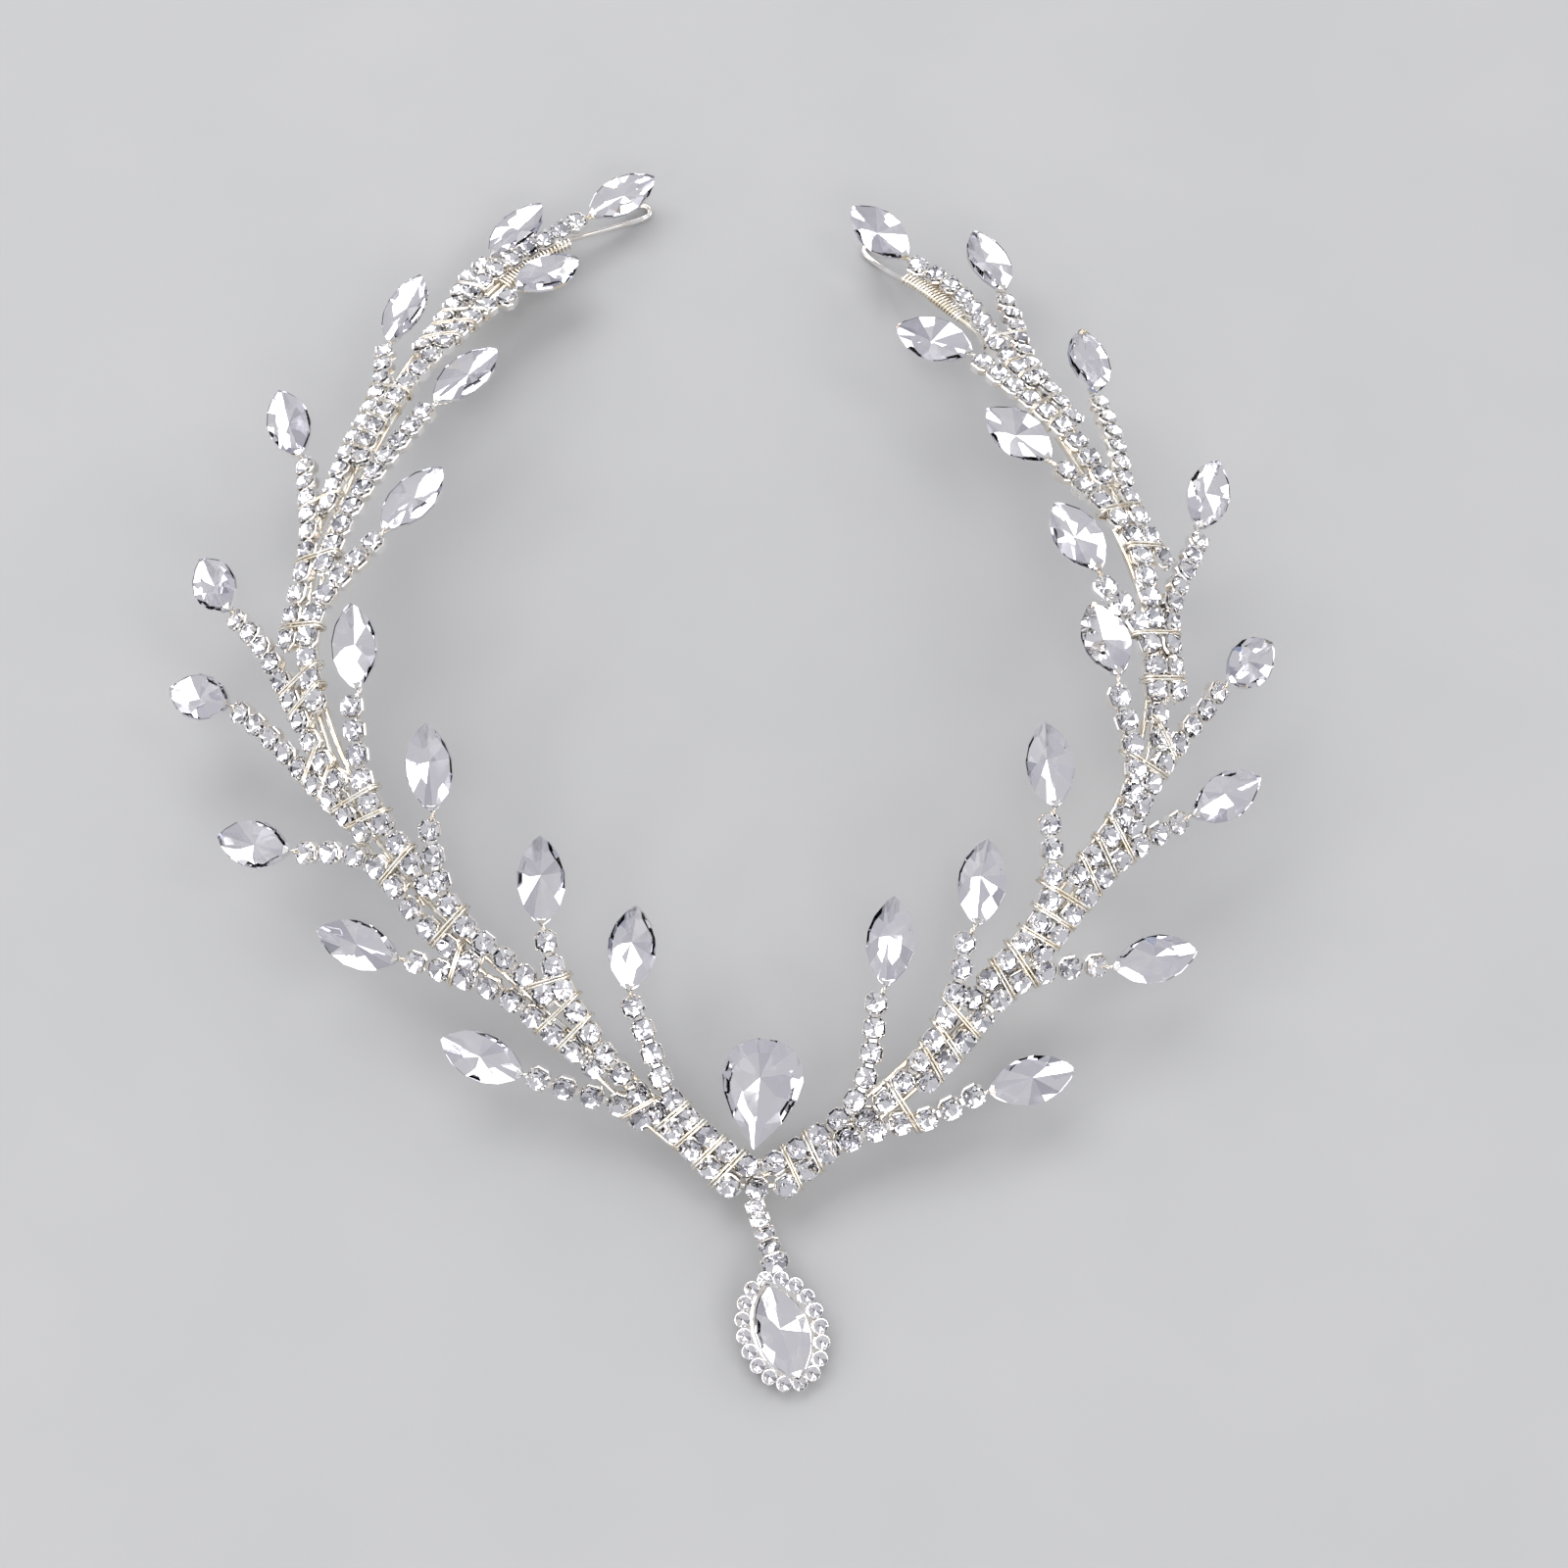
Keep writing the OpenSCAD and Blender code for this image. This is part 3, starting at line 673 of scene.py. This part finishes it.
def foot_prong():
    """A V-shaped cap that holds the foot of a navette."""
    prong = block("foot_prong", 1.0, (0.9, 1.0, 0.95), (0.63 - NAVETTE_L / 2, 0, 0))
    select_facing(prong, (-1, 0, 0))
    resize(1.0, 0.22, 0.55)
    select_facing(prong, (1, 0, 0))
    resize(1.0, 1.25, 1.0)
    bpy.ops.mesh.select_all(action="SELECT")
    bpy.ops.mesh.bevel(offset=0.07 * MM, segments=1, affect="EDGES")
    leave()
    prong.data.materials.append(silver)
    return prong


navette_stone = cut_stone(
    "navette_stone",
    vesica(NAVETTE_L - 0.2, NAVETTE_W),
    angles=both_sides(38, 55, 72, 90, 108, 125, 142),
    below=both_sides(38, 72, 108, 142),
    crown=0.85,
    pavilion=1.1,
    table=0.5,
    girdle=0.25,
    culet=(0.5, 0.2),
)
pear_stone = cut_stone(
    "pear_stone",
    teardrop(PEAR_L, PEAR_W),
    angles=radians(0, 26, 52, 78, 102, 116, 130, 230, 244, 258, 282, 308, 334),
    below=radians(0, 26, 52, 102, 130, 230, 258, 308, 334),
    crown=1.25,
    pavilion=1.65,
    table=0.48,
    girdle=0.2,
    culet=(1.9, 0.3),
)
round_stone = cut_stone(
    "round_stone",
    disc(CHATON_R),
    angles=radians(*range(0, 360, 45)),
    below=radians(*range(0, 360, 45)),
    crown=0.6,
    pavilion=0.85,
    table=0.5,
    girdle=0.06,
    small=True,
)
shuffle_facets(navette_stone)
navette_stone = join([navette_stone, foot_prong()], "navette_stone")


# Cup of the chain: a square box with cut corners, open above, and four claws over its stone
def claw(out, turn):
    """A tab that stands at a corner and leans in over the stone."""
    tab = block("claw", 0.46, (0.55, 1.0, 1.2), (out, 0, 0.3))
    select_facing(tab, (0, 0, 1))
    move(-0.26, 0, 0.14)
    resize(0.8, 0.6, 1.0)
    leave()
    tab.rotation_euler.z = math.radians(turn)
    apply_place(tab)
    return tab


def upright(a, b):
    return abs(a.x - b.x) < 1e-6 and abs(a.y - b.y) < 1e-6


def square_cup():
    cup = block("square_cup", CUP_W, (1, 1, CUP_H / CUP_W), (0, 0, CUP_MID))
    select_edges(cup, upright)
    bpy.ops.mesh.bevel(offset=CUP_CORNER * MM, segments=1)
    select_facing(cup, (0, 0, -1))
    resize(0.88, 0.88, 1)
    select_facing(cup, (0, 0, 1))
    sink(CUP_WALL, CUP_HOLLOW)
    leave()
    link = block("link", 1.0, (0.7, 0.9, 0.3), (CUP_W / 2, 0, -0.55))
    leave()
    claws = [claw(CUP_W / 2, 45 + 90 * k) for k in range(4)]
    cup = join([cup, link, *claws], "square_cup")
    cup.data.materials.clear()
    cup.data.materials.append(silver)
    stone = lay_copy(round_stone, Matrix.Translation((0, 0, CHATON_UP * MM)))
    return join([cup, stone], "square_cup")


cup_master = square_cup()


# Wires, drawn as curves and made meshes
def wires(name, runs, radius, finish, closed=False, rounding=1):
    curve = bpy.data.curves.new(name, "CURVE")
    curve.dimensions = "3D"
    curve.bevel_depth = radius * MM
    curve.bevel_resolution = rounding
    curve.use_fill_caps = not closed
    for run in runs:
        spline = curve.splines.new("POLY")
        spline.points.add(len(run) - 1)
        for point, p in zip(spline.points, run):
            point.co = (*((p + SHIFT) * MM), 1)
        spline.use_cyclic_u = closed
    piece = bpy.data.objects.new(name, curve)
    bpy.context.collection.objects.link(piece)
    pick(piece)
    bpy.ops.object.convert(target="MESH")
    piece = take(name)
    bpy.ops.object.shade_smooth()
    piece.data.materials.append(finish)
    return piece


def smooth_run(points, step):
    """Points at even steps along a smooth curve through the given ones."""
    fine = []
    last = len(points) - 1
    for i in range(last):
        a, b, c, d = points[max(i - 1, 0)], points[i], points[i + 1], points[min(i + 2, last)]
        for t in (j / 8 for j in range(8)):
            line = 2 * b + (c - a) * t
            bend = (2 * a - 5 * b + 4 * c - d) * t**2
            fine.append(0.5 * (line + bend + (3 * b - a - 3 * c + d) * t**3))
    fine.append(points[last])
    out, left = [fine[0]], step
    for a, b in zip(fine, fine[1:]):
        span = (b - a).length
        at = left
        while at < span:
            out.append(a + (b - a) * at / span)
            at += step
        left = at - span
    out.append(fine[-1])
    return out


def way_at(run, i):
    """Along a run of points, at one of them."""
    return (run[min(i + 1, len(run) - 1)] - run[max(i - 1, 0)]).normalized()


def twisted(points, radius, pitch, step=0.42):
    """Two strands laid round each other."""
    run = smooth_run(points, step)
    strands = [[], []]
    for i, p in enumerate(run):
        way = way_at(run, i)
        side = way.cross(Vector((0, 0, 1))).normalized()
        up = side.cross(way)
        turn = 2 * math.pi * i * step / pitch
        for k, strand in enumerate(strands):
            a = turn + k * math.pi
            strand.append(p + radius * (math.cos(a) * side + math.sin(a) * up))
    return strands


def wound(points, wide, narrow, high, pitch):
    """Turns of wire laid flat and close round a bundle that narrows to its end."""
    run = smooth_run(points, pitch / 8)
    turns = []
    for i, p in enumerate(run):
        reach = wide + (narrow - wide) * i / len(run)
        up = dome_out(p.x, p.y)
        side = way_at(run, i).cross(up).normalized()
        a = i * math.pi / 4
        turns.append(p + reach * math.cos(a) * side + high * math.sin(a) * up)
    return turns


def stem_route(sprig):
    """From under the crystal, up through the joint and on below the free cups to the band."""
    foot, way = crystal_line(sprig)
    cups = cup_points(sprig)
    route = [under(foot + way * along, depth) for along, depth in STEM_HEAD]
    route.append(under((foot + cups[0]) / 2, STEM_JOINT))
    route += [under(p, STEM_DEPTH) for p in cups[: sprig.free + STEM_CUPS_PAST]]
    return route


def gap_points(sprigs):
    """Gaps between cups that lie on the band: chain, place and way along it."""
    gaps = []
    for k, sprig in enumerate(sprigs):
        cups = cup_points(sprig)
        for i in range(max(sprig.free - 1, 0), sprig.cups - 1):
            gaps.append((k, (cups[i] + cups[i + 1]) / 2, (cups[i + 1] - cups[i]).normalized()))
    return gaps


def tied_gaps(sprigs):
    """Pairs of gaps, side by side in two chains, that the binding wire is wound through."""
    gaps = gap_points(sprigs)
    shortest, longest = TIE_SPANS
    near = []
    for i, (chain, at, way) in enumerate(gaps):
        for j, (other, to, _) in enumerate(gaps[:i]):
            span = (to - at).length
            if other != chain and shortest < span < longest:
                if abs((to - at).normalized().dot(way)) < TIE_SLANT:
                    near.append((span, i, j))
    used, pairs = set(), []
    for _, i, j in sorted(near):
        if i not in used and j not in used:
            used |= {i, j}
            pairs.append((gaps[i][1], gaps[j][1], gaps[i][2]))
    return pairs


def tie_run(a, b, way, shift):
    """One turn of the binding wire, over the links at two gaps and under the cores."""
    up = dome_out(a.x, a.y)
    side = (b - a) if (b - a).length > 1 else way.cross(up)
    side = (side - side.dot(up) * up).normalized()
    a, b = a + way * shift, b + way * shift
    top = TIE_TOP + random.uniform(-TIE_TOP_STRAY, TIE_TOP_STRAY)
    # Corners of the turn: the gap, how far aside of it and how high over the form
    corners = (
        (a, -1.5, -0.8),
        (a, -1.2, top - 0.25),
        (a, 0.0, top),
        (b, 0.0, top),
        (b, 1.2, top - 0.25),
        (b, 1.5, -0.8),
        (b, 1.0, TIE_LOW),
        (a, -1.0, TIE_LOW),
        (a, -1.5, -0.8),
    )
    return smooth_run([gap + side * aside + up * high for gap, aside, high in corners], TIE_STEP)[:-1]


def core_runs(table):
    line = [Vector(row) for row in table]
    runs = []
    for place in CORE_PLACES:
        run = []
        for i, p in enumerate(line):
            a, b = line[max(i - 1, 0)], line[min(i + 1, len(line) - 1)]
            way = Vector((b.x - a.x, b.y - a.y)).normalized()
            to_end = len(line) - 1 - i
            reach = place * p.z * (END_SHARES[to_end] if to_end < len(END_SHARES) else 1)
            x, y = p.x - way.y * reach, p.y + way.x * reach
            run.append(under(dome(x, y), CORE_DEPTH))
        runs.append(smooth_run(run, CORE_STEP))
    return runs


# The two arms
def cup_chain(name, sprigs, turn, node_name):
    cups = []
    for sprig in sprigs:
        for t in chain_parts(sprig):
            jolt = Matrix.Rotation(random.uniform(-CUP_JOLT, CUP_JOLT), 4, random.choice("XYZ"))
            cups.append(lay_copy(cup_master, cup_seat(sprig, t, turn) @ jolt))
    chain = join(cups, name)
    shuffle_facets(chain)
    finish_piece(chain, node_name)


def binding(side, sprigs):
    bound = []
    for at, other, way in tied_gaps(sprigs):
        if random.random() < TIE_SHARE:
            for shift in (-TIE_APART, TIE_APART):
                bound.append(tie_run(at, other, way, shift + random.uniform(-TIE_STRAY, TIE_STRAY)))
    return wires(side + "_ties", bound, TIE_R, champagne, closed=True)


def stem_wires(side, sprigs):
    strands = []
    for sprig in sprigs:
        strands += twisted(stem_route(sprig), STRAND_R, TWIST_PITCH)
    return wires(side + "_stems", strands, STRAND_R, champagne)


def core_and_winding(side, band_table):
    first_x, first_y, half_width = band_table[0]
    start = (math.copysign(OVER_MIDDLE, -first_x), first_y, half_width)
    lines = core_runs([start, *band_table])
    core = wires(side + "_core", lines, CORE_R, champagne, rounding=2)
    turns = wound(lines[1][-WRAP_POINTS:], WRAP_WIDE, WRAP_NARROW, WRAP_HIGH, WRAP_PITCH)
    return [core, wires(side + "_end_wrap", [turns], WRAP_R, champagne)]


def hair_loop(side, loop_table):
    line = smooth_run([Vector(p) for p in loop_table], LOOP_STEP)
    for p in line:
        p.z = max(p.z, LOOP_LOW)
    return wires(side + "_loop", [line], LOOP_R, silver, rounding=3)


def arm(side, inner, outer, band_table, loop_table):
    cup_chain(side + "_inner_cup_chains", inner, INNER_TURN, side + "_inner_cups")
    cup_chain(side + "_outer_cup_chains", outer, OUTER_TURN, side + "_outer_cups")
    ties = binding(side, inner + outer)
    stems = stem_wires(side, inner + outer)
    core, end_wrap = core_and_winding(side, band_table)
    piece = join([core, ties, stems, end_wrap, hair_loop(side, loop_table)], side + "_band_wires")
    finish_piece(piece, side + "_frame")


def set_crystal(name, seat, node_name, stone=navette_stone):
    back = Matrix.Translation((-CRYSTAL_BACK * MM, 0, 0))
    crystal = join([lay_copy(stone, seat @ back)], name)
    shuffle_facets(crystal)
    finish_piece(crystal, node_name)


def set_row(side, word, sprigs, face):
    """Crystals of one row. The last inner one is over the hair loop and has a name of its own."""
    for i, sprig in enumerate(sprigs):
        over_loop = word == "inner" and i == len(sprigs) - 1
        node_name = f"{side}_end_navette" if over_loop else f"{side}_{word}_navette_{i + 1}"
        set_crystal(node_name.replace("navette", "crystal"), navette_seat(sprig, face), node_name)


left_inner, left_outer = read_sprigs(LEFT_INNER), read_sprigs(LEFT_OUTER)
right_inner, right_outer = read_sprigs(RIGHT_INNER), read_sprigs(RIGHT_OUTER)
arm("left", left_inner, left_outer, LEFT_BAND, LEFT_LOOP)
arm("right", right_inner, right_outer, RIGHT_BAND, RIGHT_LOOP)
set_row("left", "inner", left_inner, LEFT_FACE)
set_row("left", "outer", left_outer, 0)
set_row("right", "inner", right_inner, RIGHT_FACE)
set_row("right", "outer", right_outer, 0)
set_crystal("pear_over_the_v", pear_seat(), "pear_crystal", pear_stone)
pendant_lift = PLATE_T + SEAT_GAP + PAVILION_H
pendant_stretch = Matrix.Diagonal((1.0, PENDANT_WIDER, 1, 1))
pendant_place = on_pendant((HALO_MID * MM, 0, pendant_lift * MM)) @ pendant_stretch
set_crystal("pendant_crystal", pendant_place, "pendant_navette")


# Pendant: rim of its crystal, ring of small round cups on its plate, and the chain above it
def round_cup():
    cup = drum("round_cup", 12, SMALL_R, SMALL_H)
    select_facing(cup, (0, 0, 1))
    sink(SMALL_WALL, SMALL_HOLLOW)
    leave()
    cup.data.materials.append(silver)
    at = Matrix.Translation((0, 0, SMALL_STONE_UP * MM))
    stone = lay_copy(round_stone, at @ Matrix.Scale(SMALL_STONE, 4))
    return join([cup, stone], "round_cup")


def navette_rim():
    """A thin wall round the pendant's crystal, cut from a block and hollowed from above."""
    bpy.ops.mesh.primitive_cube_add(size=2.4 * NAVETTE_L * MM)
    rim = take("navette_rim")
    edit(rim)
    cut((0, 0, (RIM_TOP + PLATE_T) * MM), (0, 0, 1))
    cut((0, 0, PLATE_T * MM), (0, 0, -1))
    outline = vesica(NAVETTE_L, NAVETTE_W)
    for a in both_sides(*range(38, 143, 13)):
        n = outward(a)
        cut(n * (support(outline, a) + RIM_WALL) * MM, n)
    select_facing(rim, (0, 0, 1))
    sink(RIM_WALL * 0.6, RIM_TOP - RIM_FLOOR)
    leave()
    rim.data.materials.append(silver)
    rim.matrix_world = on_pendant((HALO_MID * MM, 0, 0))
    apply_place(rim)
    return rim


def plate_part(name, radius, vertices):
    """A thin disc that stands on the pendant's foot plane, its upper edge softened."""
    part = drum(name, vertices, radius, PLATE_T, PLATE_UP)
    select_edges(part, lambda a, b: min(a.z, b.z) > 0.9 * PLATE_T * MM)
    bpy.ops.mesh.bevel(offset=PLATE_EDGE * MM, segments=1)
    leave()
    part.data.materials.append(silver)
    return part


def ring_places():
    """Middles of the ring's cups, evenly spaced round an oval, from the pendant's foot."""
    angles = [i * 2 * math.pi / 720 for i in range(721)]
    line = [Vector((RING_L * math.cos(a), RING_W * math.sin(a), 0)) for a in angles]
    round_it = sum((q - p).length for p, q in zip(line, line[1:]))
    middles = smooth_run(line, round_it / HALO_COUNT)[:HALO_COUNT]
    return [p + Vector((HALO_MID, 0, 0)) for p in middles]


halo_master = round_cup()
halo = [navette_rim()]
scallop = plate_part("scallop", SMALL_R, 12)
oval = plate_part("oval", 1.0, 48)
oval_size = Matrix.Diagonal((RING_L + 0.1, RING_W + 0.1, 1, 1))
back_plate = [lay_copy(oval, on_pendant((HALO_MID * MM, 0, 0)) @ oval_size)]
for middle in ring_places():
    at = middle * MM
    back_plate.append(lay_copy(scallop, on_pendant(at)))
    at.z = (PLATE_T + CUP_GAP) * MM
    halo.append(lay_copy(halo_master, on_pendant(at)))
finish_piece(join(halo, "halo_of_small_cups"), "pendant_cups")
finish_piece(join(back_plate, "pendant_back_plate"), "pendant_setting")


def pendant_chain():
    # A cup under the V covers the wire ring that the chain hangs from
    cups = [lay_copy(cup_master, axes_at(V_LINK_AT, V_LINK_WAY, V_LINK_UP))]
    drop = DROP_TO - DROP_FROM
    for i, (lean, width) in enumerate(LINKS):
        at = DROP_FROM + drop * (i * LINK_PITCH + LINK_START) + LINK_LIFT
        seat = axes_at(at, drop, Vector((0, lean, 1)))
        cups.append(lay_copy(cup_master, seat @ Matrix.Diagonal((LINK_LONG, width, LINK_HIGH, 1))))
    # The larger cup that the halo hangs from leans forward and shows its upper wall
    bail = axes_at(DROP_TO + drop.normalized() * BAIL_PAST + LINK_LIFT, drop, BAIL_UP)
    cups.append(lay_copy(cup_master, bail @ Matrix.Diagonal(BAIL_SIZE)))
    chain = join(cups, "pendant_links")
    shuffle_facets(chain)
    finish_piece(chain, "pendant_chain")


pendant_chain()
for master in (cup_master, halo_master, navette_stone, pear_stone, round_stone, scallop, oval):
    bpy.data.objects.remove(master)

# Floor
bpy.ops.mesh.primitive_circle_add(vertices=96, radius=0.95, fill_type="NGON")
floor = take("floor")
edit(floor)
bpy.ops.mesh.inset(thickness=0.25)
leave()
paper = material("pale_floor", (0.44, 0.44, 0.45), roughness=0.75)
tint(paper, noise(paper, scale=30.0), [(0.3, (0.43, 0.432, 0.44)), (0.7, (0.45, 0.45, 0.452))])
floor.data.materials.append(paper)


# Light, in metres
def soft_light(name, at, size, power):
    """A rectangular lamp that looks at the middle of the frame."""
    data = bpy.data.lights.new(name, "AREA")
    data.shape = "RECTANGLE"
    data.size, data.size_y = size
    data.energy = power
    lamp = bpy.data.objects.new(name, data)
    bpy.context.collection.objects.link(lamp)
    lamp.location = at
    lamp.rotation_euler = (Vector((0, 0, 0)) - Vector(at)).to_track_quat("-Z", "Y").to_euler()


soft_light("key_light", at=(-0.25, 0.4, 0.9), size=(0.8, 0.6), power=6.6)
soft_light("front_light", at=(0.15, -0.75, 0.7), size=(0.36, 0.26), power=2.2)
# Strip lights 1 m away all round, as azimuth, elevation, width, height and power
STRIPS = [
    (15, 32, 0.34, 0.5, 1.7),
    (62, 38, 0.34, 0.4, 1.6),
    (100, 24, 0.16, 0.4, 1.2),
    (148, 40, 0.34, 0.5, 1.7),
    (196, 30, 0.34, 0.5, 1.7),
    (238, 42, 0.16, 0.4, 1.2),
    (270, 66, 0.22, 0.2, 0.9),
    (305, 36, 0.34, 0.45, 1.6),
    (340, 58, 0.24, 0.3, 1.2),
]
for k, (azimuth, elevation, width, height, power) in enumerate(STRIPS):
    a, e = math.radians(azimuth), math.radians(elevation)
    at = (math.cos(a) * math.cos(e), math.sin(a) * math.cos(e), math.sin(e))
    soft_light(f"strip_light_{k + 1}", at, (width, height), power)
world = bpy.data.worlds.new("studio")
bpy.context.scene.world = world
world.use_nodes = True
world_light = world.node_tree.nodes["Background"].inputs
world_light["Color"].default_value = (0.96, 0.96, 1.0, 1)
world_light["Strength"].default_value = 0.95
bpy.context.scene.view_settings.view_transform = "Standard"
bpy.context.scene.view_settings.exposure = -0.75

# Camera: 430 mm from the middle of the head opening and 64 degrees over the floor
CAMERA_AT = Vector((0, -188.5, 386.5))
camera_data = bpy.data.cameras.new("camera")
camera = bpy.data.objects.new("camera", camera_data)
bpy.context.collection.objects.link(camera)
camera.location = (CAMERA_AT + SHIFT) * MM
camera.rotation_euler = (SHIFT * MM - camera.location).to_track_quat("-Z", "Y").to_euler()
camera_data.sensor_width = 36
camera_data.lens = 71.8
camera_data.shift_x, camera_data.shift_y = 0.0156, -0.0406
camera_data.clip_start, camera_data.clip_end = 0.01, 20
bpy.context.scene.camera = camera

bpy.context.view_layer.update()
